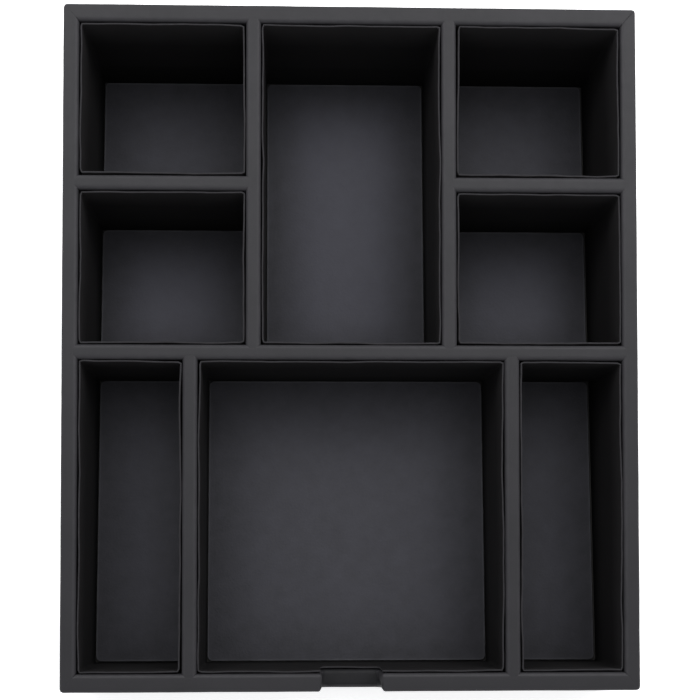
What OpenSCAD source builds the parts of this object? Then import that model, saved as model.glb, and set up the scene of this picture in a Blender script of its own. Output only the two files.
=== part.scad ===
// Compartment organiser tray: a wedge-shaped, open-topped tray of fibreboard panels wrapped in
// black leatherette. Seven dividers make eight compartments, each lined with card and floored
// with a loose card pad. A finger notch is cut into the front wall. Nothing moves.
//
// Origin: centre of the underside. +X right, +Y towards the tall back wall, +Z up.

/* [Tray] */
// Overall width, left to right
tray_w = 320; // [280:1:400]
// Overall length, front to back
tray_l = 380; // [320:1:470]
// Height of the rim's line at the front face
front_h = 59; // [45:1:80]
// Height of the rim's line at the back face
back_h = 85; // [60:1:110]

/* [Walls, thickness with their covers] */
// Left and right walls
side_t = 9; // [6:0.1:12]
// Back wall
back_t = 9.9; // [6:0.1:12]
// Front wall
front_t = 10.3; // [6:0.1:14]
// Every divider
divider_t = 8.6; // [6:0.1:11]

/* [Compartments] */
// Front face to the centre line of the cross divider
cross_place = 186.7; // [150:0.1:210]
// Centre line of the cross divider to that of the short dividers
short_place = 93.8; // [70:0.1:105]
// Centre to centre of the two upper dividers
upper_pitch = 109; // [80:0.5:150]
// Centre to centre of the two lower dividers
lower_pitch = 178.6; // [120:0.1:200]

/* [Finger notch] */
// Clear width of the notch
notch_w = 34; // [20:0.5:60]
// Depth of the notch below the front rim
notch_h = 20.7; // [10:0.1:28]
// Radius in the notch's lower corners
notch_r = 4; // [1:0.5:8]
// Sideways place of the notch's middle
notch_x = 0; // [-20:0.1:20]

/* [Coverings] */
// Leatherette over the boards
cover_t = 0.6; // [0.3:0.1:1]
// Card that lines each compartment
liner_t = 1.2; // [0.6:0.1:2]
// Clearance between a liner and the covered walls
liner_gap = 0.3; // [0.1:0.1:1]
// How far a liner's top edge stays below the rim
liner_drop = 1.5; // [0.5:0.1:4]
// Thickness of a floor pad
pad_t = 1; // [0.5:0.1:3]
// Clearance around a floor pad
pad_gap = 0.5; // [0.1:0.1:1.5]

/* [Base] */
// Thickness of the base board
base_t = 4.9; // [3:0.1:8]
// Thickness of the sheet glued under the base
sheet_t = 0.6; // [0.3:0.1:1.5]
// Margin between the edge of the base and that sheet
sheet_margin = 3; // [1:0.5:10]

/* [Edges] */
// Rounding of the rim along the outside
outer_r = 1.7; // [1.1:0.1:3]
// Rounding of the rim along the compartments and dividers
inner_r = 2.4; // [1.1:0.1:2.8]

/* [Hidden] */
ARC_STEPS = 6;
TALL = 2 * back_h;

SLOPE = (back_h - front_h) / tray_l;
TILT = atan(SLOPE);
SLANT = sqrt(1 + SLOPE * SLOPE);

X_OUT = tray_w / 2;
Y_OUT = tray_l / 2;
X_IN = X_OUT - side_t;
Y_FRONT = front_t - Y_OUT;
Y_BACK = Y_OUT - back_t;

CROSS_Y = cross_place - Y_OUT;
SHORT_Y = CROSS_Y + short_place;
UPPER_X = upper_pitch / 2;
LOWER_X = lower_pitch / 2;
HALF = divider_t / 2;

SHEET_TOP = sheet_t;
BASE_TOP = sheet_t + base_t;
NOTCH_Z = front_h - notch_h;

// Each divider: name, the axis it runs along, its centre line, and where it starts and ends
DIVIDERS = [
    ["cross_divider", "x", CROSS_Y, -X_IN, X_IN],
    ["upper_divider_left", "y", -UPPER_X, CROSS_Y + HALF, Y_BACK],
    ["upper_divider_right", "y", UPPER_X, CROSS_Y + HALF, Y_BACK],
    ["short_divider_left", "x", SHORT_Y, -X_IN, -UPPER_X - HALF],
    ["short_divider_right", "x", SHORT_Y, UPPER_X + HALF, X_IN],
    ["lower_divider_left", "y", -LOWER_X, Y_FRONT, CROSS_Y - HALF],
    ["lower_divider_right", "y", LOWER_X, Y_FRONT, CROSS_Y - HALF],
];

// Each compartment between its covered walls: name, left, right, front and back
CELLS = [
    ["back_left", -X_IN, -UPPER_X - HALF, SHORT_Y + HALF, Y_BACK],
    ["back_right", UPPER_X + HALF, X_IN, SHORT_Y + HALF, Y_BACK],
    ["middle_left", -X_IN, -UPPER_X - HALF, CROSS_Y + HALF, SHORT_Y - HALF],
    ["middle_right", UPPER_X + HALF, X_IN, CROSS_Y + HALF, SHORT_Y - HALF],
    ["back_centre", -UPPER_X + HALF, UPPER_X - HALF, CROSS_Y + HALF, Y_BACK],
    ["front_left", -X_IN, -LOWER_X - HALF, Y_FRONT, CROSS_Y - HALF],
    ["front_right", LOWER_X + HALF, X_IN, Y_FRONT, CROSS_Y - HALF],
    ["front_centre", -LOWER_X + HALF, LOWER_X - HALF, Y_FRONT, CROSS_Y - HALF],
];

// Height of the sloping rim plane at a place along the tray
function rim_z(y) = front_h + SLOPE * (y + Y_OUT);

function arc(centre, r, from, to) =
    [for (i = [0:ARC_STEPS]) let (a = from + (to - from) * i / ARC_STEPS)
        centre + r * [cos(a), sin(a)]];

// Cross-section of an upright wall between u0 and u1. Its top passes through (0, top), rises by
// s for each millimetre across, and is rounded at both edges.
function wall_outline(u0, u1, low, top, s, r0, r1) =
    let (slant = sqrt(1 + s * s), lean = 90 + atan(s))
    concat(
        [[u0, low]],
        arc([u0 + r0, top + s * (u0 + r0) - r0 * slant], r0, 180, lean),
        arc([u1 - r1, top + s * (u1 - r1) - r1 * slant], r1, lean, 0),
        [[u1, low]]
    );

// A wall that runs along X from y0 to y1, shrunk all round by inset
module wall_x(y0, y1, r0, r1, inset = 0) {
    rotate([90, 0, 90])
        linear_extrude(2 * tray_w, center = true)
            polygon(wall_outline(y0 + inset, y1 - inset, 0, rim_z(0) - inset * SLANT,
                SLOPE, r0 - inset, r1 - inset));
}

// A wall that runs along Y from x0 to x1, with its top following the rim's slope
module wall_y(x0, x1, r0, r1, inset = 0) {
    translate([0, 0, rim_z(0)])
        rotate([90 + TILT, 0, 0])
            linear_extrude(2 * tray_l, center = true)
                polygon(wall_outline(x0 + inset, x1 - inset, -TALL, -inset, 0,
                    r0 - inset, r1 - inset));
}

// The space over a rectangle of the plan, from a given height up
module over(x0, x1, y0, y1, z0) {
    translate([x0, y0, z0])
        cube([x1 - x0, y1 - y0, TALL]);
}

// The space over any outline in the plan, from the base sheet up
module over_plan(points) {
    translate([0, 0, SHEET_TOP])
        linear_extrude(TALL)
            polygon(points);
}

// Everything lower than the rim plane by a given drop
module under_rim(drop) {
    translate([0, 0, rim_z(0)])
        rotate([TILT, 0, 0])
            translate([-tray_w, -tray_l, -drop - 2 * TALL])
                cube([2 * tray_w, 2 * tray_l, 2 * TALL]);
}

// The finger notch as a solid, grown all round and open at the top
module notch_space(grow) {
    half = notch_w / 2 + grow;
    r = notch_r + grow;
    low = NOTCH_Z - grow;
    translate([notch_x, Y_FRONT + liner_gap + 2 * liner_t, 0])
        rotate([90, 0, 0])
            linear_extrude(front_t + liner_gap + 4 * liner_t)
                polygon(concat(
                    [[-half, TALL]],
                    arc([-half + r, low + r], r, 180, 270),
                    arc([half - r, low + r], r, 270, 360),
                    [[half, TALL]]
                ));
}

module base_sheet() {
    color("#1c1b1d")
        translate([-X_OUT + sheet_margin, -Y_OUT + sheet_margin, 0])
            cube([tray_w - 2 * sheet_margin, tray_l - 2 * sheet_margin, sheet_t]);
}

module base_board() {
    color("#262523")
        translate([-X_OUT + cover_t, -Y_OUT + cover_t, SHEET_TOP])
            cube([tray_w - 2 * cover_t, tray_l - 2 * cover_t, base_t]);
}

// The front and back boards run the full width and are rounded at their ends like the sides
module end_board(y0, y1, r0, r1) {
    intersection() {
        wall_x(y0, y1, r0, r1, cover_t);
        wall_y(-X_OUT, X_OUT, outer_r, outer_r, cover_t);
        over(-X_OUT, X_OUT, y0, y1, BASE_TOP);
    }
}

// The left board, which the right one mirrors, stands between the front and back boards
module side_board() {
    intersection() {
        wall_y(-X_OUT, -X_IN, outer_r, inner_r, cover_t);
        over(-X_OUT, -X_IN, Y_FRONT - cover_t, Y_BACK + cover_t, BASE_TOP);
    }
}

module front_blank() {
    end_board(-Y_OUT, Y_FRONT, outer_r, inner_r);
}

module front_board() {
    color("#262523")
        difference() {
            front_blank();
            notch_space(cover_t);
        }
}

module back_board() {
    color("#262523")
        end_board(Y_BACK, Y_OUT, inner_r, outer_r);
}

module left_board() {
    color("#262523")
        side_board();
}

module right_board() {
    color("#262523")
        mirror([1, 0, 0])
            side_board();
}

module front_cover() {
    color("#3a393d")
        difference() {
            intersection() {
                wall_x(-Y_OUT, Y_FRONT, outer_r, inner_r);
                over_plan([[-X_OUT, -Y_OUT], [X_OUT, -Y_OUT], [X_IN, Y_FRONT], [-X_IN, Y_FRONT]]);
            }
            base_board();
            front_blank();
            left_board();
            right_board();
            notch_space(cover_t);
        }
}

module back_cover() {
    color("#3a393d")
        difference() {
            intersection() {
                wall_x(Y_BACK, Y_OUT, inner_r, outer_r);
                over_plan([[-X_OUT, Y_OUT], [-X_IN, Y_BACK], [X_IN, Y_BACK], [X_OUT, Y_OUT]]);
            }
            base_board();
            back_board();
            left_board();
            right_board();
        }
}

// The left cover, which the right one mirrors, is mitred against the front and back covers
module side_cover() {
    difference() {
        intersection() {
            wall_y(-X_OUT, -X_IN, outer_r, inner_r);
            over_plan([[-X_OUT, -Y_OUT], [-X_IN, Y_FRONT], [-X_IN, Y_BACK], [-X_OUT, Y_OUT]]);
        }
        base_board();
        side_board();
        front_blank();
        back_board();
    }
}

module left_cover() {
    color("#3a393d")
        side_cover();
}

module right_cover() {
    color("#3a393d")
        mirror([1, 0, 0])
            side_cover();
}

// A strip of the same leatherette that lines the cut faces of the finger notch
module notch_patch() {
    color("#2e2d31")
        intersection() {
            difference() {
                notch_space(cover_t);
                notch_space(0);
            }
            wall_x(-Y_OUT, Y_FRONT, outer_r, inner_r);
        }
}

module divider_bar(d, inset) {
    intersection() {
        if (d[1] == "x")
            wall_x(d[2] - HALF, d[2] + HALF, inner_r, inner_r, inset);
        else
            wall_y(d[2] - HALF, d[2] + HALF, inner_r, inner_r, inset);
        if (d[1] == "x")
            over(d[3], d[4], -Y_OUT, Y_OUT, BASE_TOP);
        else
            over(-X_OUT, X_OUT, d[3], d[4], BASE_TOP);
    }
}

module divider_board(d) {
    color("#262523")
        divider_bar(d, cover_t);
}

module divider_cover(d) {
    color("#3a393d")
        difference() {
            divider_bar(d, 0);
            divider_bar(d, cover_t);
        }
}

// A sleeve of card around the inside of one compartment
module liner(c) {
    color("#232225")
        difference() {
            intersection() {
                over(c[1] + liner_gap, c[2] - liner_gap, c[3] + liner_gap, c[4] - liner_gap,
                    BASE_TOP);
                under_rim(liner_drop);
            }
            inside = liner_gap + liner_t;
            over(c[1] + inside, c[2] - inside, c[3] + inside, c[4] - inside, 0);
            notch_space(0);
        }
}

module floor_pad(c) {
    inside = liner_gap + liner_t + pad_gap;
    color("#35343a")
        translate([c[1] + inside, c[3] + inside, BASE_TOP])
            cube([c[2] - c[1] - 2 * inside, c[4] - c[3] - 2 * inside, pad_t]);
}

base_sheet();
base_board();
front_board();
back_board();
left_board();
right_board();
front_cover();
back_cover();
left_cover();
right_cover();
notch_patch();
for (d = DIVIDERS) {
    divider_board(d);
    divider_cover(d);
}
for (c = CELLS) {
    liner(c);
    floor_pad(c);
}
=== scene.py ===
"""A compartment organiser tray: black leatherette over board walls and seven dividers, card liners
with a bare top edge, and papered floor pads. The script follows the tray as it is put together."""

import math

import bpy
from mathutils import Matrix, Vector, noise


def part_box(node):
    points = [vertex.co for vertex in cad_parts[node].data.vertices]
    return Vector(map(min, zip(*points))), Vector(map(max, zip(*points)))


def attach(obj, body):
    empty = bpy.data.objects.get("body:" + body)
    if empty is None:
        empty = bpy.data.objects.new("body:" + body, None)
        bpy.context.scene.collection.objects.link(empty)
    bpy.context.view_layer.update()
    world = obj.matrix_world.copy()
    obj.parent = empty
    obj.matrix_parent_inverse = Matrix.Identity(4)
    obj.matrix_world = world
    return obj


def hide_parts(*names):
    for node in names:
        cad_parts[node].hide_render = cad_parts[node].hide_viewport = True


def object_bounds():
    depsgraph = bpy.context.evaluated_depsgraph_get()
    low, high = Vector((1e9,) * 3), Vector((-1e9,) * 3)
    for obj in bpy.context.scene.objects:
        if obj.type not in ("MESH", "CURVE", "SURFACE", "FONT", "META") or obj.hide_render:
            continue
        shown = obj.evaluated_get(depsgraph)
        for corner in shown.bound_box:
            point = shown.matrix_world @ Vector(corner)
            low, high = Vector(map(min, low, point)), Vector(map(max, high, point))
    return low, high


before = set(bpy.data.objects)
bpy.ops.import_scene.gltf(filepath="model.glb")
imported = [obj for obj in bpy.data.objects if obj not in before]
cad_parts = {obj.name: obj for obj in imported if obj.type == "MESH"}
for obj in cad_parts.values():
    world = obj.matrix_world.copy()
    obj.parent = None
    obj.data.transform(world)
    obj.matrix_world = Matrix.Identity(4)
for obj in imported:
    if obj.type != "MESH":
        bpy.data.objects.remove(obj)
cad_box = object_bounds()

# ---------------------------------------------------------------------------------------------
# The camera. It looks straight down on the rim, from a little left of the middle and well
# towards the front. It is turned slightly towards the middle, which keeps its shift small. The
# rim is one sloping plane, which the liners' flat tops give exactly.

MM = 0.001
LINER_DROP = 1.5 * MM

front_liner_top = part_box("front_left_liner")[1]
back_liner_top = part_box("back_left_liner")[1]
rim_slope = (back_liner_top.z - front_liner_top.z) / (back_liner_top.y - front_liner_top.y)
rim_slant = math.hypot(1, rim_slope)


def rim_z(y):
    """Height of the rim plane at a place along the tray."""
    return front_liner_top.z + rim_slope * (y - front_liner_top.y) + LINER_DROP * rim_slant


EYE_ABOVE_RIM = 610 * MM
EYE_LEFT = 35 * MM
EYE_FORWARD = 73 * MM
VIEW_WIDTH = 385.6 * MM
TURN = math.radians(1.5)
# How far the tray is off the view's middle, to the right and up, in shares of the view's width.
OFF_CENTRE = (0.0024, 0.0057)

rim_centre = Vector((0, 0, rim_z(0)))
rim_right = Vector((1, 0, 0))
rim_back = Vector((0, 1, rim_slope)).normalized()
rim_up = rim_right.cross(rim_back)

camera = bpy.data.objects.new("camera", bpy.data.cameras.new("camera"))
bpy.context.scene.collection.objects.link(camera)
eye = rim_centre - rim_right * EYE_LEFT - rim_back * EYE_FORWARD + rim_up * EYE_ABOVE_RIM
look = ((rim_right + rim_back) * math.tan(TURN) - rim_up).normalized()
look_right = look.cross(rim_back).normalized()
look_up = look_right.cross(look)
camera.matrix_world = Matrix.Translation(eye) @ Matrix(
    (look_right, look_up, -look)).transposed().to_4x4()
camera.data.lens = camera.data.sensor_width * EYE_ABOVE_RIM / VIEW_WIDTH
to_centre = rim_centre - eye
reach = camera.data.lens / camera.data.sensor_width / to_centre.dot(look)
camera.data.shift_x = to_centre.dot(look_right) * reach - OFF_CENTRE[0]
camera.data.shift_y = to_centre.dot(look_up) * reach - OFF_CENTRE[1]
camera.data.clip_start = 0.01
bpy.context.scene.camera = camera
bpy.context.scene.view_settings.view_transform = "Standard"


# ---------------------------------------------------------------------------------------------
# Leatherette: a thin vinyl skin on paper, embossed with a fine pebble grain. It gives a soft,
# slightly cool black that turns paler where the rim bends and has been handled.

def shade(code):
    """An sRGB hex colour as linear red, green, blue and alpha."""
    parts = [int(code[i:i + 2], 16) / 255 for i in (1, 3, 5)]
    return [p / 12.92 if p <= 0.04045 else ((p + 0.055) / 1.055) ** 2.4 for p in parts] + [1.0]


def add_node(tree, kind, values=None, links=None, **settings):
    """A node with its settings, the values of its sockets, and what is plugged into them."""
    made = tree.nodes.new(kind)
    for name, value in settings.items():
        setattr(made, name, value)
    for name, value in (values or {}).items():
        made.inputs[name].default_value = value
    for name, source in (links or {}).items():
        tree.links.new(source, made.inputs[name])
    return made


def new_material(name):
    """An empty material, its tree and its surface shader."""
    made = bpy.data.materials.new(name)
    made.use_nodes = True
    return made, made.node_tree, made.node_tree.nodes["Principled BSDF"]


LEATHER_DARK = shade("#202022")
LEATHER_PALE = shade("#29282b")
LEATHER_WORN = shade("#343336")
# Such a grain is usually about 0.5 mm; it is drawn at 0.9 mm so that it still shows.
GRAIN = 0.9 * MM

leatherette, tree, shader = new_material("embossed_black_leatherette")
place = add_node(tree, "ShaderNodeTexCoord").outputs["Object"]
cloud = add_node(tree, "ShaderNodeTexNoise", {"Scale": 1 / (30 * MM), "Detail": 3.0},
                 {"Vector": place})
tone = add_node(tree, "ShaderNodeMix", {"A": LEATHER_DARK, "B": LEATHER_PALE},
                {"Factor": cloud.outputs["Fac"]}, data_type="RGBA", name="tone")
bent = add_node(tree, "ShaderNodeAttribute", attribute_name="bend").outputs["Fac"]
wear_spots = add_node(tree, "ShaderNodeTexNoise", {"Scale": 1 / (6 * MM), "Detail": 4.0},
                      {"Vector": place})
wear = add_node(tree, "ShaderNodeMath", links={0: bent, 1: wear_spots.outputs["Fac"]},
                operation="MULTIPLY")
worn = add_node(tree, "ShaderNodeMix", {"B": LEATHER_WORN},
                {"Factor": wear.outputs[0], "A": tone.outputs["Result"]}, data_type="RGBA")
pebbles = add_node(tree, "ShaderNodeTexVoronoi", {"Scale": 1 / GRAIN}, {"Vector": place})
creases = add_node(tree, "ShaderNodeTexNoise", {"Scale": 1 / (4 * GRAIN), "Detail": 5.0},
                   {"Vector": place})
grain = add_node(tree, "ShaderNodeMath", {2: 0.5},
                 {0: creases.outputs["Fac"], 1: pebbles.outputs["Distance"]},
                 operation="MULTIPLY_ADD")
tree.links.new(worn.outputs["Result"], shader.inputs["Base Color"])
bump = add_node(tree, "ShaderNodeBump", {"Strength": 0.35, "Distance": 0.12 * MM},
                {"Height": grain.outputs[0]})
tree.links.new(bump.outputs["Normal"], shader.inputs["Normal"])
rough = add_node(tree, "ShaderNodeMapRange", {"To Min": 0.5, "To Max": 0.64},
                 {"Value": creases.outputs["Fac"]})
tree.links.new(rough.outputs["Result"], shader.inputs["Roughness"])
shader.inputs["Specular IOR Level"].default_value = 0.25


# ---------------------------------------------------------------------------------------------
# The wrapped walls. Each wall's leatherette is one sheet that goes from under the base up the
# outside, over the rim, and down the inside. Ends that meet at a corner are cut as a mitre.

SKIN = 0.55 * MM
OUTER_R = 1.7 * MM
INNER_R = 2.4 * MM
CORNER_R = 2.6 * MM
RIPPLE = 0.1 * MM
# The highest that the ripple gets, so that a skin settles inwards from its size and never past it.
RIPPLE_PEAK = 1.4
TURN_IN = 14 * MM
FOOT_BEND = 0.8 * MM
UNDERSIDE = 0.25 * MM
ARC_STEPS = 7
END_STEPS = (0, 0.15, 0.35, 0.6, 0.9, 1.3, 1.8, 2.4, 3.2, 4.5, 6.5, 9.5)
STEP = 5 * MM

tray_low, tray_high = cad_box
base_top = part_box("base_board")[1].z
left_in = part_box("left_cover")[1].x
right_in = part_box("right_cover")[0].x
front_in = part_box("front_cover")[1].y
back_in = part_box("back_cover")[0].y


def along(length):
    """Places along a run, in shares of its length, close together near both ends."""
    ends = [s * MM for s in END_STEPS]
    count = max(2, round((length - 2 * ends[-1]) / STEP))
    middle = [ends[-1] + (length - 2 * ends[-1]) * i / count for i in range(1, count)]
    return [s / length for s in ends + middle + [length - e for e in reversed(ends)]]


def over_the_rim(c0, c1, r0, r1):
    """The top of a wall from face c0 to face c1, as place across, drop below the rim, the way
    out across and up, and how hard the skin is bent there."""
    points = []
    for i in range(ARC_STEPS + 1):
        a = math.pi * (1 - i / ARC_STEPS / 2)
        points.append((c0 + r0 + r0 * math.cos(a), r0 - r0 * math.sin(a),
                       math.cos(a), math.sin(a), math.sin(2 * math.pi - 2 * a)))
    for i in range(1, 4):
        c = c0 + r0 + (c1 - r1 - c0 - r0) * i / 4
        points.append((c, 0, 0, 1, 0))
    for i in range(ARC_STEPS + 1):
        a = math.pi / 2 * (1 - i / ARC_STEPS)
        points.append((c1 - r1 + r1 * math.cos(a), r1 - r1 * math.sin(a),
                       math.cos(a), math.sin(a), math.sin(2 * a)))
    return points


def ripple(p, size=28 * MM):
    """Slow and quick unevenness of a hand-laid skin, from about -1 to 1."""
    return noise.noise(p / size) + 0.4 * noise.noise(p / (size / 3.5))


def finish_piece(made, node, name):
    """Hooks a finished piece up: it rides on the tray and stands for its CAD node."""
    made.name = made.data.name = name
    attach(made, "root")
    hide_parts(node)
    return made


def mesh_object(name, vertices, faces, material, bends=None):
    """A smooth mesh object; bends say how hard the skin is bent at each vertex."""
    mesh = bpy.data.meshes.new(name)
    mesh.from_pydata([tuple(v) for v in vertices], [], faces)
    mesh.materials.append(material)
    if bends:
        layer = mesh.attributes.new("bend", "FLOAT", "POINT")
        layer.data.foreach_set("value", bends)
    mesh.polygons.foreach_set("use_smooth", [True] * len(mesh.polygons))
    made = bpy.data.objects.new(name, mesh)
    bpy.context.scene.collection.objects.link(made)
    return made


def applied(made):
    """The object with its modifiers worked into a plain mesh."""
    bpy.context.view_layer.update()
    seen = made.evaluated_get(bpy.context.evaluated_depsgraph_get())
    mesh = bpy.data.meshes.new_from_object(seen)
    made.modifiers.clear()
    made.data = mesh
    return made


def skin_sheet(name, rows, outs, bends, material=leatherette, thickness=SKIN, raw_edge=None):
    """A closed skin from a grid of points on its outside and the way out at each of them. The
    strip between its first two rows can show a material of its own."""
    tall, wide = len(rows), len(rows[0])
    count = tall * wide
    outside = [p for row in rows for p in row]
    inside = [p - out.normalized() * thickness
              for row, ways in zip(rows, outs) for p, out in zip(row, ways)]
    faces = []
    for i in range(tall - 1):
        for j in range(wide - 1):
            a, b, c, d = (i * wide + j, i * wide + j + 1, (i + 1) * wide + j + 1,
                          (i + 1) * wide + j)
            faces += [(a, b, c, d), (d + count, c + count, b + count, a + count)]
    border = list(range(wide)) + [i * wide + wide - 1 for i in range(1, tall)]
    border += [count - 1 - j for j in range(1, wide)] + [i * wide for i in range(tall - 2, 0, -1)]
    faces += [(b, a, a + count, b + count) for a, b in zip(border, border[1:] + border[:1])]
    flat_bends = [b for row in bends for b in row]
    made = mesh_object(name, outside + inside, faces, material, flat_bends + flat_bends)
    middle = made.data.polygons[(tall // 2 * (wide - 1) + wide // 2) * 2]
    if middle.normal.dot(outs[tall // 2][wide // 2]) < 0:
        made.data.flip_normals()
    made.data.set_sharp_from_angle(angle=math.radians(50))
    if raw_edge:
        made.data.materials.append(raw_edge)
        for face in made.data.polygons[:2 * (wide - 1)]:
            face.material_index = 1
    return made


def seam_dip(distance, depth):
    """How far the skin sinks close to a cut end."""
    reach = 0.9 * MM
    return depth * max(0, 1 - distance / reach) ** 2


def round_off(p, low, high, r):
    """Pulls a point in so that a rectangle's four corners become round."""
    middle = (low + high) / 2
    dx = abs(p.x - middle.x) - (high.x - middle.x - r)
    dy = abs(p.y - middle.y) - (high.y - middle.y - r)
    if dx <= 0 or dy <= 0:
        return p
    k = max(dx, dy) / math.hypot(dx, dy)
    return Vector((math.copysign(high.x - middle.x - r + dx * k, p.x - middle.x) + middle.x,
                   math.copysign(high.y - middle.y - r + dy * k, p.y - middle.y) + middle.y,
                   p.z))


def wall_section(c_out, c_in):
    """Once round an outer wall's section: turn-in, outside, rim and inside. Each point has its
    place across, its height as a share from base to rim edge or a drop, and the way out."""
    sign = 1 if c_in > c_out else -1
    low = []
    for share in (1, 0.6, 0.25, 0.08):
        low.append((c_out + sign * TURN_IN * share, "at", UNDERSIDE, 0, -1, 0))
    for angle in (20, 45, 70):
        across, up = math.sin(math.radians(angle)), math.cos(math.radians(angle))
        low.append((c_out + sign * FOOT_BEND * (1 - across), "at",
                    UNDERSIDE + FOOT_BEND * (1 - up), -sign * across, -up, 0.7))
    for share in (0.02, 0.1, 0.25, 0.4, 0.55, 0.7, 0.85, 0.96):
        low.append((c_out, "face", share, -sign, 0, 0))
    if sign > 0:
        rim = over_the_rim(c_out, c_in, OUTER_R, INNER_R)
    else:
        rim = reversed(over_the_rim(c_in, c_out, INNER_R, OUTER_R))
    top = [(c, "drop", drop, nc, nz, b) for c, drop, nc, nz, b in rim]
    inside = [(c_in, "inner", share, sign, 0, 0) for share in (0.9, 0.5, 0)]
    return low + top + inside


def section_height(kind, value, y, edge_r):
    """Height of a section's point, from the kind of value that the section gives for it."""
    if kind == "at":
        return value
    if kind == "drop":
        return rim_z(y) - value
    low = UNDERSIDE + FOOT_BEND if kind == "face" else base_top
    return low + (rim_z(y) - edge_r - low) * value


def wrapped_wall(node, axis, c_out, c_in, ends, dips):
    """Lays an outer wall's skin. ends gives, at each end of the run, the mitre's place at the
    outside and at the inside of the wall. dips gives the depth of the two seams."""
    section = wall_section(c_out, c_in)
    shares = along(abs(ends[1][0] - ends[0][0]))
    rows, outs, bends = [], [], []
    for c, kind, value, nc, nz, bend in section:
        across = (c - c_out) / (c_in - c_out)
        a0, a1 = (e[0] + (e[1] - e[0]) * across for e in ends)
        row = []
        for u in shares:
            a = a0 + (a1 - a0) * u
            x, y = (c, a) if axis == "y" else (a, c)
            z = section_height(kind, value, y, INNER_R if kind == "inner" else OUTER_R)
            p = Vector((x, y, z))
            out = Vector((nc, 0, nz)) if axis == "y" else Vector((0, nc, nz))
            span = abs(a1 - a0)
            sink = seam_dip(u * span, dips[0]) + seam_dip((1 - u) * span, dips[1])
            lift = 0 if kind == "at" else RIPPLE * (ripple(p) - RIPPLE_PEAK)
            row.append(round_off(p, tray_low, tray_high, CORNER_R) + out * (lift - sink))
        rows.append(row)
        outs.append([out] * len(row))
        bends.append([bend] * len(row))
    return finish_piece(skin_sheet(node, rows, outs, bends), node,
                        node + "_leatherette")


front_y, back_y = tray_low.y, tray_high.y
left_x, right_x = tray_low.x, tray_high.x
# The seams sink by slightly different depths. The back skin's right end stands up in a small lip.
wrapped_wall("left_cover", "y", left_x, left_in,
             ((front_y, front_in), (back_y, back_in)), (0.06 * MM, 0.08 * MM))
wrapped_wall("right_cover", "y", right_x, right_in,
             ((front_y, front_in), (back_y, back_in)), (0.06 * MM, 0.12 * MM))
wrapped_wall("back_cover", "x", back_y, back_in,
             ((left_x, left_in), (right_x, right_in)), (0.05 * MM, -0.16 * MM))


# ---------------------------------------------------------------------------------------------
# The front wall's leatherette runs along the rim, dips into the finger notch and comes out of
# it again, so its sheet is laid along that whole line.

NOTCH_FILLET = 4 * MM
NOTCH_LIP = 1.6 * MM
FRONT_SEAM = 0.07 * MM
# The CAD's skins are 0.6 mm thick, and the patch lies on the wall's own skin in the notch.
CAD_SKIN = 0.6 * MM

notch_low, notch_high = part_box("notch_patch")
notch_left = notch_low.x + CAD_SKIN
notch_right = notch_high.x - CAD_SKIN
notch_floor = notch_low.z + CAD_SKIN
front_rim = rim_z(front_y)


def notch_line():
    """The rim's line along the front wall at its outer face: place, height, the way out, and
    how much the point belongs to the sloping rim (1) or to the level notch (0)."""
    points = []

    def turn(cx, cz, r, start, stop, steps, concave):
        for i in range(steps + 1):
            a = math.radians(start + (stop - start) * i / steps)
            n = (math.cos(a), math.sin(a))
            z = cz + r * n[1]
            w = (z - notch_floor) / (front_rim - notch_floor)
            flip = -1 if concave else 1
            points.append((cx + r * n[0], z, flip * n[0], flip * n[1], w))

    def straight(x, z0, z1, nx, steps):
        for i in range(1, steps):
            z = z0 + (z1 - z0) * i / steps
            points.append((x, z, nx, 0, (z - notch_floor) / (front_rim - notch_floor)))

    lip, fillet = NOTCH_LIP, NOTCH_FILLET
    turn(notch_left - lip, front_rim - lip, lip, 90, 0, 6, False)
    straight(notch_left, front_rim - lip, notch_floor + fillet, 1, 5)
    turn(notch_left + fillet, notch_floor + fillet, fillet, 180, 270, 8, True)
    for i in range(1, 8):
        x = notch_left + fillet + (notch_right - notch_left - 2 * fillet) * i / 8
        points.append((x, notch_floor, 0, 1, 0))
    turn(notch_right - fillet, notch_floor + fillet, fillet, 270, 360, 8, True)
    straight(notch_right, notch_floor + fillet, front_rim - lip, -1, 5)
    turn(notch_right + lip, front_rim - lip, lip, 180, 90, 6, False)
    return points


def rim_stretch(x0, x1, count):
    """A straight stretch of the rim's line, without its last point."""
    return [(x0 + (x1 - x0) * i / count, front_rim, 0, 1, 1) for i in range(count)]


def spread_feet(line):
    """For each point of the line, where the sheet below it reaches the foot of the wall."""
    run = [0]
    for a, b in zip(line, line[1:]):
        run.append(run[-1] + math.hypot(b[0] - a[0], b[1] - a[1]))
    margin = 10 * MM
    inside = [i for i, p in enumerate(line) if notch_left - margin < p[0] < notch_right + margin]
    first, last = inside[0], inside[-1]
    feet = [p[0] for p in line]
    for i in inside:
        share = (run[i] - run[first]) / (run[last] - run[first])
        feet[i] = line[first][0] + (line[last][0] - line[first][0]) * share
    return feet


mitre = [left_x + s * MM for s in END_STEPS]
half_left = notch_left - NOTCH_LIP - mitre[-1]
half_right = right_x - (mitre[-1] - left_x) - (notch_right + NOTCH_LIP)
front_line = [(x, front_rim, 0, 1, 1) for x in mitre[:-1]]
front_line += rim_stretch(mitre[-1], notch_left - NOTCH_LIP, round(half_left / STEP))
front_line += notch_line()
right_part = rim_stretch(notch_right + NOTCH_LIP, right_x - (mitre[-1] - left_x),
                         round(half_right / STEP))
front_line += right_part[1:]
front_line += [(-x, front_rim, 0, 1, 1) for x in reversed(mitre)]
front_feet = spread_feet(front_line)

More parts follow.
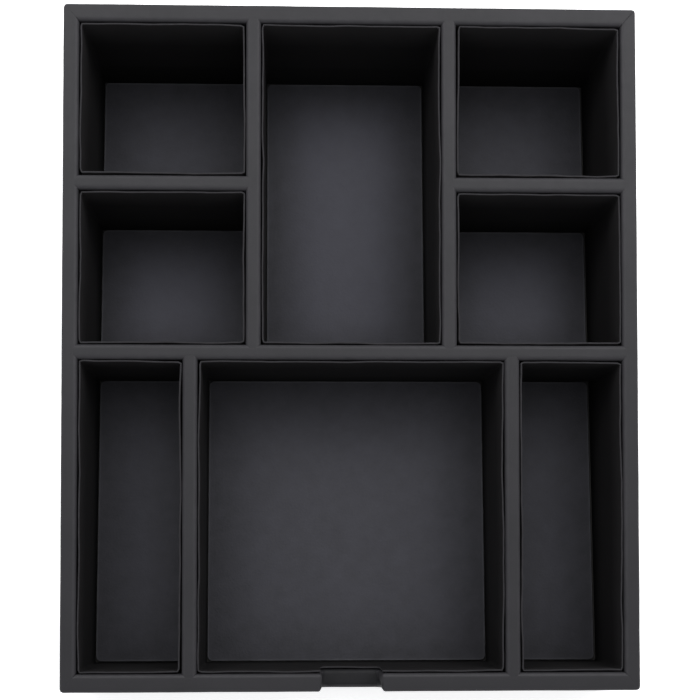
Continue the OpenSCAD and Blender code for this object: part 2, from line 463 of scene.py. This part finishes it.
rows, outs, bends = [], [], []
for c, kind, value, nc, nz, bend in wall_section(front_y, front_in):
    row, row_outs, row_bends = [], [], []
    for (x, z, nx, nup, w), foot in zip(front_line, front_feet):
        edge_r = INNER_R if kind == "inner" else OUTER_R
        tilt = w * rim_slope * (c - front_y)
        if kind == "drop":
            p = Vector((x - nx * value, c, z - nup * value + tilt))
            out = Vector((nx * nz, nc, nup * nz))
        elif kind == "at":
            p = Vector((foot, c, value))
            out = Vector((0, nc, nz))
        else:
            low = UNDERSIDE + FOOT_BEND if kind == "face" else base_top
            edge = Vector((x - nx * edge_r, c, z - nup * edge_r + tilt))
            p = Vector((foot, c, low)).lerp(edge, value)
            out = Vector((0, nc, 0))
        # The mitre shortens the sheet at both ends as it crosses the wall.
        across = (c - front_y) / (front_in - front_y)
        cut = (left_in - left_x) * across
        span = right_x - left_x
        share = (p.x - left_x) / span
        p.x += cut * (1 - 2 * share)
        near = min(share, 1 - share) * span
        sink = seam_dip(near, FRONT_SEAM)
        lift = 0 if kind == "at" else RIPPLE * (ripple(p) - RIPPLE_PEAK)
        row.append(round_off(p, tray_low, tray_high, CORNER_R) + out * (lift - sink))
        row_outs.append(out)
        row_bends.append(bend)
    rows.append(row)
    outs.append(row_outs)
    bends.append(row_bends)
finish_piece(skin_sheet("front_cover", rows, outs, bends), "front_cover",
             "front_cover_leatherette")


# ---------------------------------------------------------------------------------------------
# The notch patch: a strip of the same leatherette glued into the notch from the inside. Its cut
# front edge, a little crooked, stops just short of the wall's face.

PATCH_SETBACK = 1.5 * MM
PATCH_PROUD = 0.3 * MM
PATCH_SKIN = 0.5 * MM
PATCH_LIP = 0.45 * MM
PATCH_DIP = 0.3 * MM
PATCH_WANDER = 0.35 * MM
PATCH_SHORT = 0.6 * MM

# Painted shade: a darker, duller copy of the leatherette stands in for the shade in the notch.
shaded_leatherette = leatherette.copy()
shaded_leatherette.name = "painted_shade_leatherette"
shaded_tone = shaded_leatherette.node_tree.nodes["tone"]
shaded_tone.inputs["A"].default_value = shade("#151517")
shaded_tone.inputs["B"].default_value = shade("#1c1c1e")
shaded_shader = shaded_leatherette.node_tree.nodes["Principled BSDF"]
shaded_shader.inputs["Specular IOR Level"].default_value = 0.15

# Cut card: grey and fibrous where the blade went through the black paper. The strip's cut
# backing and the liners' top edges show it as a thin, slightly paler line.
card_edge, tree, shader = new_material("cut_grey_card_edge")
place = add_node(tree, "ShaderNodeTexCoord").outputs["Object"]
cuts = add_node(tree, "ShaderNodeTexNoise", {"Scale": 1 / (3 * MM), "Detail": 5.0},
                {"Vector": place})
tone = add_node(tree, "ShaderNodeMix", {"A": shade("#19181a"), "B": shade("#2c2b2e")},
                {"Factor": cuts.outputs["Fac"]}, data_type="RGBA")
tree.links.new(tone.outputs["Result"], shader.inputs["Base Color"])
shader.inputs["Roughness"].default_value = 0.8
shader.inputs["Specular IOR Level"].default_value = 0.25

patch_front = front_y + PATCH_SETBACK
patch_line = [p for p in notch_line() if p[1] < front_rim - PATCH_SHORT]
rows, outs, bends = [], [], []
patch_section = [(patch_front, PATCH_DIP, 0, 1), (patch_front + PATCH_LIP, 0.0, 0, 1)]
patch_section += [(patch_front + (front_in - INNER_R - patch_front) * t, 0.0, 0, 1)
                  for t in (0.3, 0.65, 1.0)]
for i in range(1, ARC_STEPS + 1):
    a = math.pi / 2 * (1 - i / ARC_STEPS)
    patch_section.append((front_in - INNER_R + INNER_R * math.cos(a),
                          INNER_R - INNER_R * math.sin(a), math.cos(a), math.sin(a)))
for c, drop, nc, nz in patch_section:
    row, row_outs = [], []
    for i, (x, z, nx, nup, w) in enumerate(patch_line):
        tilt = w * rim_slope * (c - front_y)
        p = Vector((x - nx * drop, c, z - nup * drop + tilt))
        out = Vector((nx * nz, nc, nup * nz))
        wander = Vector((0, 0, 0))
        if c <= patch_front + PATCH_LIP:
            wander.y = PATCH_WANDER * noise.noise(Vector((i * 0.35, 3.1, 0)))
        row.append(p + out * (PATCH_PROUD + 0.4 * RIPPLE * ripple(p)) + wander)
        row_outs.append(out)
    rows.append(row)
    outs.append(row_outs)
    bends.append([0] * len(row))
made = skin_sheet("notch_patch", rows, outs, bends, shaded_leatherette, PATCH_SKIN, card_edge)
finish_piece(made, "notch_patch", "notch_patch_leatherette")


# ---------------------------------------------------------------------------------------------
# The dividers' leatherette: one sheet folded over each divider. Its ends are butted against the
# walls' skins and follow their rounded edges, which leaves a fine seam.

BUTT_GAP = 0.03 * MM
BUTT_SEAM = 0.04 * MM
DIVIDERS = {
    "cross_divider": "x",
    "upper_divider_left": "y",
    "upper_divider_right": "y",
    "short_divider_left": "x",
    "short_divider_right": "x",
    "lower_divider_left": "y",
    "lower_divider_right": "y",
}


def reach_over(drop):
    """How far a divider's end can reach past a wall's face before it meets its rounding."""
    if drop >= INNER_R:
        return -BUTT_GAP / 2
    return INNER_R - math.sqrt(INNER_R ** 2 - (INNER_R - drop) ** 2) - BUTT_GAP


for name, axis in DIVIDERS.items():
    node = name + "_cover"
    low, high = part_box(node)
    if axis == "y":
        c0, c1, a0, a1 = low.x, high.x, low.y, high.y
    else:
        c0, c1, a0, a1 = low.y, high.y, low.x, high.x
    faces_up = [(c0, "inner", share, -1, 0, 0) for share in (0, 0.5, 0.9)]
    top = [(c, "drop", drop, nc, nz, b)
           for c, drop, nc, nz, b in over_the_rim(c0, c1, INNER_R, INNER_R)]
    faces_down = [(c1, "inner", share, 1, 0, 0) for share in (0.9, 0.5, 0)]
    rows, outs, bends = [], [], []
    for c, kind, value, nc, nz, bend in faces_up + top + faces_down:
        extra = reach_over(value if kind == "drop" else INNER_R)
        span = a1 - a0 + 2 * extra
        row = []
        for u in along(span):
            a = a0 - extra + span * u
            x, y = (c, a) if axis == "y" else (a, c)
            p = Vector((x, y, section_height(kind, value, y, INNER_R)))
            out = Vector((nc, 0, nz)) if axis == "y" else Vector((0, nc, nz))
            sink = seam_dip(min(u, 1 - u) * span, BUTT_SEAM)
            row.append(p + out * (RIPPLE * (ripple(p) - RIPPLE_PEAK) - sink))
        rows.append(row)
        outs.append([out] * len(row))
        bends.append([bend] * len(row))
    finish_piece(skin_sheet(node, rows, outs, bends), node,
                 node + "_leatherette")


# ---------------------------------------------------------------------------------------------
# The boards: fibreboard dyed black, sawn to shape and glued together. They are wrapped, so the
# CAD solids stay as they are and only get their finish: a dull, fibrous black.

BOARD_DARK = shade("#151413")
BOARD_PALE = shade("#201f1d")

board, tree, shader = new_material("sawn_black_fibreboard")
place = add_node(tree, "ShaderNodeTexCoord").outputs["Object"]
fibres = add_node(tree, "ShaderNodeTexNoise", {"Scale": 1 / (2 * MM), "Detail": 6.0},
                  {"Vector": place})
tone = add_node(tree, "ShaderNodeMix", {"A": BOARD_DARK, "B": BOARD_PALE},
                {"Factor": fibres.outputs["Fac"]}, data_type="RGBA")
bump = add_node(tree, "ShaderNodeBump", {"Strength": 0.3, "Distance": 0.1 * MM},
                {"Height": fibres.outputs["Fac"]})
tree.links.new(tone.outputs["Result"], shader.inputs["Base Color"])
tree.links.new(bump.outputs["Normal"], shader.inputs["Normal"])
shader.inputs["Roughness"].default_value = 0.9

board_names = ["base", "front", "back", "left", "right"] + list(DIVIDERS)
for name in board_names:
    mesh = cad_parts[name + "_board"].data
    mesh.materials.clear()
    mesh.materials.append(board)


# ---------------------------------------------------------------------------------------------
# The compartment liners: sleeves of thin card covered with dull black paper, dropped in and
# glued. Their cut top edges stay bare, a little crooked, and show as a thin grey line.

CARD = 0.85 * MM
SLACK = 0.3 * MM
SLEEVE_CORNER = 0.6 * MM
SLEEVE_STEP = 2 * MM
EDGE_WANDER = 2.4 * MM
EDGE_RISE = 1.2 * MM
EDGE_WAVE = 35 * MM
CELLS = ("back_left", "back_right", "middle_left", "middle_right", "back_centre", "front_left",
         "front_right", "front_centre")

liner_paper, tree, shader = new_material("dull_black_paper")
place = add_node(tree, "ShaderNodeTexCoord").outputs["Object"]
cloud = add_node(tree, "ShaderNodeTexNoise", {"Scale": 1 / (12 * MM), "Detail": 4.0},
                 {"Vector": place})
tone = add_node(tree, "ShaderNodeMix", {"A": shade("#0e0d0e"), "B": shade("#141314")},
                {"Factor": cloud.outputs["Fac"]}, data_type="RGBA")
felt = add_node(tree, "ShaderNodeTexNoise", {"Scale": 1 / (0.8 * MM), "Detail": 4.0},
                {"Vector": place})
bump = add_node(tree, "ShaderNodeBump", {"Strength": 0.25, "Distance": 0.08 * MM},
                {"Height": felt.outputs["Fac"]})
tree.links.new(tone.outputs["Result"], shader.inputs["Base Color"])
tree.links.new(bump.outputs["Normal"], shader.inputs["Normal"])
shader.inputs["Roughness"].default_value = 0.85
shader.inputs["Specular IOR Level"].default_value = 0.15

sleeve = bpy.data.node_groups.new("card_sleeve", "GeometryNodeTree")
sleeve.interface.new_socket("Geometry", in_out="OUTPUT", socket_type="NodeSocketGeometry")
for name in ("Width", "Length", "Corner radius", "Card", "Front height", "Back height",
             "Wander", "Rise", "Wave", "Seed"):
    sleeve.interface.new_socket(name, in_out="INPUT", socket_type="NodeSocketFloat")
for name in ("Paper", "Cut edge"):
    sleeve.interface.new_socket(name, in_out="INPUT", socket_type="NodeSocketMaterial")
given = add_node(sleeve, "NodeGroupInput").outputs
# The sleeve's plan: a rectangle with softly folded corners.
plan = add_node(sleeve, "GeometryNodeCurvePrimitiveQuadrilateral",
                links={"Width": given["Width"], "Height": given["Length"]})
folded = add_node(sleeve, "GeometryNodeFilletCurve", {"Count": 4},
                  {"Curve": plan.outputs["Curve"], "Radius": given["Corner radius"]}, mode="POLY")
path = add_node(sleeve, "GeometryNodeResampleCurve", {"Length": SLEEVE_STEP},
                {"Curve": folded.outputs["Curve"]}, mode="LENGTH")
# The card's section stands 1 high and is stretched to the real height afterwards.
section = add_node(sleeve, "GeometryNodeCurvePrimitiveQuadrilateral", {"Height": 1.0},
                   {"Width": given["Card"]})
upright = add_node(sleeve, "GeometryNodeSubdivideCurve", {"Cuts": 2},
                   {"Curve": section.outputs["Curve"]})
wall = add_node(sleeve, "GeometryNodeCurveToMesh",
                links={"Curve": path.outputs["Curve"], "Profile Curve": upright.outputs["Curve"]})
where = add_node(sleeve, "GeometryNodeInputPosition")
split = add_node(sleeve, "ShaderNodeSeparateXYZ", links={"Vector": where.outputs[0]})
share = add_node(sleeve, "ShaderNodeMath", {1: 0.5}, {0: split.outputs["Z"]}, operation="ADD")
half = add_node(sleeve, "ShaderNodeMath", {1: 0.5}, {0: given["Length"]}, operation="MULTIPLY")
near_front = add_node(sleeve, "ShaderNodeMath", {1: -1.0}, {0: half.outputs[0]},
                      operation="MULTIPLY")
height = add_node(sleeve, "ShaderNodeMapRange", links={
    "Value": split.outputs["Y"], "From Min": near_front.outputs[0], "From Max": half.outputs[0],
    "To Min": given["Front height"], "To Max": given["Back height"]}, clamp=False)
offset = add_node(sleeve, "ShaderNodeCombineXYZ", links={
    "X": split.outputs["X"], "Y": split.outputs["Y"], "Z": given["Seed"]})
scaled = add_node(sleeve, "ShaderNodeVectorMath", links={0: offset.outputs[0], 1: given["Wave"]},
                  operation="MULTIPLY")
drift = add_node(sleeve, "ShaderNodeTexNoise", {"Scale": 1.0, "Detail": 2.0},
                 {"Vector": scaled.outputs[0]}, noise_dimensions="3D")
centred = add_node(sleeve, "ShaderNodeVectorMath", {1: (0.5, 0.5, 0.5)},
                   {0: drift.outputs["Color"]}, operation="SUBTRACT")
leaning = add_node(sleeve, "ShaderNodeVectorMath",
                   links={0: centred.outputs[0], "Scale": given["Wander"]}, operation="SCALE")
top_only = add_node(sleeve, "ShaderNodeVectorMath",
                    links={0: leaning.outputs[0], "Scale": share.outputs[0]}, operation="SCALE")
lean = add_node(sleeve, "ShaderNodeSeparateXYZ", links={"Vector": top_only.outputs[0]})
swell = add_node(sleeve, "ShaderNodeSeparateXYZ", links={"Vector": centred.outputs[0]})
rise = add_node(sleeve, "ShaderNodeMath", links={
    0: swell.outputs["Z"], 1: given["Rise"], 2: height.outputs[0]}, operation="MULTIPLY_ADD")
tall = add_node(sleeve, "ShaderNodeMath", links={0: rise.outputs[0], 1: share.outputs[0]},
                operation="MULTIPLY")
new_x = add_node(sleeve, "ShaderNodeMath", links={0: split.outputs["X"], 1: lean.outputs["X"]},
                 operation="ADD")
new_y = add_node(sleeve, "ShaderNodeMath", links={0: split.outputs["Y"], 1: lean.outputs["Y"]},
                 operation="ADD")
spot = add_node(sleeve, "ShaderNodeCombineXYZ", links={
    "X": new_x.outputs[0], "Y": new_y.outputs[0], "Z": tall.outputs[0]})
set_up = add_node(sleeve, "GeometryNodeSetPosition",
                  links={"Geometry": wall.outputs["Mesh"], "Position": spot.outputs[0]})
papered = add_node(sleeve, "GeometryNodeSetMaterial", links={
    "Geometry": set_up.outputs[0], "Material": given["Paper"]})
facing = add_node(sleeve, "GeometryNodeInputNormal")
upward = add_node(sleeve, "ShaderNodeSeparateXYZ", links={"Vector": facing.outputs[0]})
is_top = add_node(sleeve, "FunctionNodeCompare", {"B": 0.7}, {"A": upward.outputs["Z"]},
                  operation="GREATER_THAN")
edged = add_node(sleeve, "GeometryNodeSetMaterial", links={
    "Geometry": papered.outputs[0], "Selection": is_top.outputs[0],
    "Material": given["Cut edge"]})
real = add_node(sleeve, "GeometryNodeRealizeInstances", links={"Geometry": edged.outputs[0]})
add_node(sleeve, "NodeGroupOutput", links={"Geometry": real.outputs[0]})


def grown(name, tree, inputs):
    """An object grown by a geometry node tree with these inputs."""
    made = bpy.data.objects.new(name, bpy.data.meshes.new(name))
    bpy.context.scene.collection.objects.link(made)
    modifier = made.modifiers.new(tree.name, "NODES")
    modifier.node_group = tree
    sockets = {s.name: s.identifier for s in tree.interface.items_tree if s.in_out == "INPUT"}
    for socket, value in inputs.items():
        modifier[sockets[socket]] = value
    return made


def notch_cutter():
    """The notch as a solid that cuts the card behind it."""
    line = [(x, z) for x, z, nx, nup, w in notch_line() if z < front_rim - NOTCH_LIP * 0.9]
    outline = [(line[0][0], rim_z(0))] + line + [(line[-1][0], rim_z(0))]
    count = len(outline)
    near, far = front_in - 2 * MM, front_in + 6 * MM
    vertices = [(x, near, z) for x, z in outline] + [(x, far, z) for x, z in outline]
    faces = [tuple(range(count)), tuple(reversed(range(count, 2 * count)))]
    faces += [((i + 1) % count, i, i + count, (i + 1) % count + count) for i in range(count)]
    return mesh_object("notch_cutter", vertices, faces, card_edge)


for seed, cell in enumerate(CELLS):
    node = cell + "_liner"
    low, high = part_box(node)
    made = grown(node, sleeve, {
        "Width": high.x - low.x - CARD - SLACK * 2,
        "Length": high.y - low.y - CARD - SLACK * 2,
        "Corner radius": SLEEVE_CORNER, "Card": CARD,
        "Front height": rim_z(low.y) - LINER_DROP - base_top,
        "Back height": rim_z(high.y) - LINER_DROP - base_top,
        "Wander": EDGE_WANDER, "Rise": EDGE_RISE, "Wave": 1 / EDGE_WAVE, "Seed": seed * 1.7,
        "Paper": liner_paper, "Cut edge": card_edge,
    })
    applied(made)
    made.data.transform(Matrix.Translation(((low.x + high.x) / 2, (low.y + high.y) / 2,
                                            base_top)))
    if cell == "front_centre":
        cutter = notch_cutter()
        cut = made.modifiers.new("notch", "BOOLEAN")
        cut.object = cutter
        cut.solver = "EXACT"
        applied(made)
        bpy.data.objects.remove(cutter)
    finish_piece(made, node, node + "_card")


# ---------------------------------------------------------------------------------------------
# The floor pads: card covered with embossed black paper that has picked up a faint mottle. Each
# lies in its compartment with a little room round it, is not quite flat, and has a rubbed edge.

PAD_CORNER = 3.2 * MM
PAD_EDGE = 0.2 * MM
PAD_COCKLE = 0.35 * MM
PAD_CURL = 0.3 * MM
PAD_WAVE = 40 * MM
CURL_WIDTH = 7 * MM
RUB_WIDTH = 1.1 * MM
RIGHT_ROOM = 0.6 * MM
# Such an emboss is usually about 0.6 mm; it is drawn at 1.4 mm so that it still shows.
EMBOSS = 1.4 * MM

floor_paper, tree, shader = new_material("embossed_black_floor_paper")
place = add_node(tree, "ShaderNodeTexCoord").outputs["Object"]
mottle = add_node(tree, "ShaderNodeTexNoise", {"Scale": 1 / (9 * MM), "Detail": 7.0,
                                               "Roughness": 0.7}, {"Vector": place})
tone = add_node(tree, "ShaderNodeMix", {"A": shade("#1b1b1d"), "B": shade("#333339")},
                {"Factor": mottle.outputs["Fac"]}, data_type="RGBA")
# Painted light: a paler grey mixed into each floor's middle stands in for a pool of light.
painted_light_pool = add_node(tree, "ShaderNodeAttribute", attribute_name="painted_light_pool").outputs["Fac"]
pool_lit_mix = add_node(tree, "ShaderNodeMix", {"B": shade("#4c4c55")},
                 {"Factor": painted_light_pool, "A": tone.outputs["Result"]}, data_type="RGBA")
rubbed = add_node(tree, "ShaderNodeAttribute", attribute_name="bend").outputs["Fac"]
rub_spots = add_node(tree, "ShaderNodeTexNoise", {"Scale": 1 / (10 * MM), "Detail": 3.0},
                     {"Vector": place})
rub = add_node(tree, "ShaderNodeMath", links={0: rubbed, 1: rub_spots.outputs["Fac"]},
               operation="MULTIPLY")
worn = add_node(tree, "ShaderNodeMix", {"B": shade("#505054")},
                {"Factor": rub.outputs[0], "A": pool_lit_mix.outputs["Result"]}, data_type="RGBA")
emboss = add_node(tree, "ShaderNodeTexVoronoi", {"Scale": 1 / EMBOSS}, {"Vector": place})
fibres = add_node(tree, "ShaderNodeTexNoise", {"Scale": 1 / (3 * MM), "Detail": 4.0},
                  {"Vector": place})
relief = add_node(tree, "ShaderNodeMath", {2: 0.5},
                  {0: fibres.outputs["Fac"], 1: emboss.outputs["Distance"]},
                  operation="MULTIPLY_ADD")
bump = add_node(tree, "ShaderNodeBump", {"Strength": 0.7, "Distance": 0.2 * MM},
                {"Height": relief.outputs[0]})
tree.links.new(worn.outputs["Result"], shader.inputs["Base Color"])
tree.links.new(bump.outputs["Normal"], shader.inputs["Normal"])
shader.inputs["Roughness"].default_value = 0.75
shader.inputs["Specular IOR Level"].default_value = 0.3


def lying_sheet(name, low, high, material, corner, cockle, curl, seed):
    """A thin sheet that fills a box, with round corners, softened edges and a cockled top."""
    rows, outs, bends = [], [], []
    for v in along(high.y - low.y):
        row, row_bends = [], []
        for u in along(high.x - low.x):
            x, y = low.x + (high.x - low.x) * u, low.y + (high.y - low.y) * v
            inward = min(x - low.x, high.x - x, y - low.y, high.y - y)
            wave = 1 + noise.noise(Vector((x / PAD_WAVE, y / PAD_WAVE, seed)))
            z = high.z + cockle * wave * min(1, inward / CURL_WIDTH)
            z += curl * wave * max(0, 1 - inward / CURL_WIDTH) ** 2
            z -= min(PAD_EDGE, (high.z - low.z) / 2) * max(0, 1 - inward / PAD_EDGE)
            row.append(round_off(Vector((x, y, z)), low, high, corner))
            row_bends.append(max(0, 1 - inward / RUB_WIDTH))
        rows.append(row)
        outs.append([Vector((0, 0, 1))] * len(row))
        bends.append(row_bends)
    made = skin_sheet(name, rows, outs, bends, material, high.z - low.z)
    for vertex in made.data.vertices[len(made.data.vertices) // 2:]:
        vertex.co.z = low.z
    return made


# Painted light: how far each floor's colour is lifted towards a paler grey in its middle, a
# painted pool of light. It fades to the plain paper along the walls, where the walls' shade falls.
LIGHT_POOL_REACH = 32 * MM
PAINTED_LIGHT_POOLS = {"back_left": 0.18, "back_right": 0.14, "middle_left": 0.42, "middle_right": 0.36,
        "back_centre": 0.40, "front_left": 0.17, "front_right": 0.15, "front_centre": 0.12}


def paint_light_pool(made, low, high, most):
    """Write how much painted light each point of a floor gets: most in the middle, none at the
    edges.
    """
    mark = made.data.attributes.new("painted_light_pool", "FLOAT", "POINT")
    for vertex in made.data.vertices:
        share = most
        for i in range(2):
            inward = min(vertex.co[i] - low[i], high[i] - vertex.co[i])
            t = max(0, min(1, inward / min(LIGHT_POOL_REACH, (high[i] - low[i]) / 2)))
            share *= t * t * (3 - 2 * t)
        mark.data[vertex.index].value = share


for seed, cell in enumerate(CELLS):
    node = cell + "_floor"
    low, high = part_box(node)
    if cell.endswith("right"):
        high.x -= RIGHT_ROOM
    made = lying_sheet(node, low, high, floor_paper, PAD_CORNER, PAD_COCKLE, PAD_CURL, seed * 2.3)
    paint_light_pool(made, low, high, PAINTED_LIGHT_POOLS[cell])
    finish_piece(made, node, node + "_card")


# ---------------------------------------------------------------------------------------------
# The base sheet: one piece of plain black paper glued under the tray over the turned-in skins.

low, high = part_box("base_sheet")
high.z = UNDERSIDE
made = lying_sheet("base_sheet", low, high, liner_paper, 2 * MM, 0, 0, 0)
finish_piece(made, "base_sheet", "base_sheet_paper")


# ---------------------------------------------------------------------------------------------
# The stage: a plain pale floor, an even pale surround, and broad soft lights, the strongest of
# them from above and behind.

floor_white, tree, shader = new_material("pale_floor")
shader.inputs["Base Color"].default_value = shade("#f4f4f4")
shader.inputs["Roughness"].default_value = 0.9
shader.inputs["Emission Color"].default_value = shade("#ffffff")
shader.inputs["Emission Strength"].default_value = 0.55
FLOOR = 12.0
stage_floor = mesh_object("floor", [(-FLOOR, -FLOOR, 0), (FLOOR, -FLOOR, 0), (FLOOR, FLOOR, 0),
                                    (-FLOOR, FLOOR, 0)], [(0, 1, 2, 3)], floor_white)

world = bpy.data.worlds.new("surround")
world.use_nodes = True
world.node_tree.nodes["Background"].inputs["Color"].default_value = shade("#f6f7fa")
world.node_tree.nodes["Background"].inputs["Strength"].default_value = 0.6
bpy.context.scene.world = world


def soft_light(name, place, aim, width, height, power):
    """A rectangular area light at a place, turned towards another."""
    lamp = bpy.data.lights.new(name, "AREA")
    lamp.shape = "RECTANGLE"
    lamp.size, lamp.size_y, lamp.energy = width, height, power
    made = bpy.data.objects.new(name, lamp)
    made.location = place
    made.rotation_euler = (Vector(aim) - Vector(place)).to_track_quat("-Z", "Y").to_euler()
    bpy.context.scene.collection.objects.link(made)


TRAY_MIDDLE = (0, 0, 0.05)
soft_light("overhead", (0, 0.35, 0.95), TRAY_MIDDLE, 1.2, 0.75, 5.3)
soft_light("back_left", (-0.6, 0.6, 0.9), TRAY_MIDDLE, 0.6, 0.6, 4.2)
soft_light("back_right", (0.6, 0.6, 0.9), TRAY_MIDDLE, 0.6, 0.6, 5.6)
soft_light("right", (0.7, 0.1, 1.0), TRAY_MIDDLE, 0.8, 1.0, 1.2)
soft_light("front", (0, -0.9, 0.9), TRAY_MIDDLE, 1.6, 0.6, 1.3)
